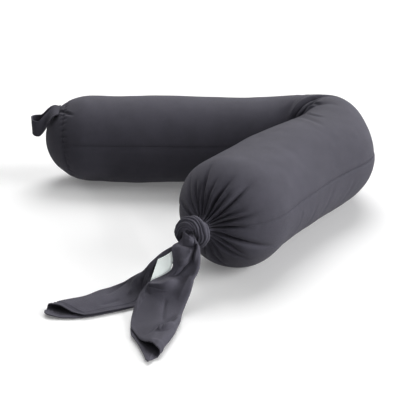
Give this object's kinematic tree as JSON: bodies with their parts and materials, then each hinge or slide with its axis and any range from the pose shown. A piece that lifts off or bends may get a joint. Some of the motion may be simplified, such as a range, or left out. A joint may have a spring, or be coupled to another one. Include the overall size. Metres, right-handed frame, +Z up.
{
  "type": "pregnancy pillow",
  "caption": "Long bolster pillow in a jersey cover, bent double on the floor, with a gathered and knotted end, loose tails and a strap loop.",
  "frame": {"origin": "on the floor, under the middle of the whole object's bounding box", "axes": "+Z up, -Y from the bolster towards the knot and its tails, +X towards the bend"},
  "size_m": [0.8149, 0.9739, 0.2262],
  "materials": {
    "bolster": "charcoal cotton jersey over soft filling",
    "knot": "charcoal cotton jersey, wound",
    "tail_front": "charcoal cotton jersey",
    "tail_left": "charcoal cotton jersey",
    "strap_loop": "charcoal jersey strap",
    "care_label": "pale satin tape, bare"
  },
  "bodies": {
    "root": {"bolster": "bolster", "knot": "knot", "tail_front": "tail_front", "tail_left": "tail_left", "strap_loop": "strap_loop", "care_label": "care_label"}
  },
  "joints": []
}
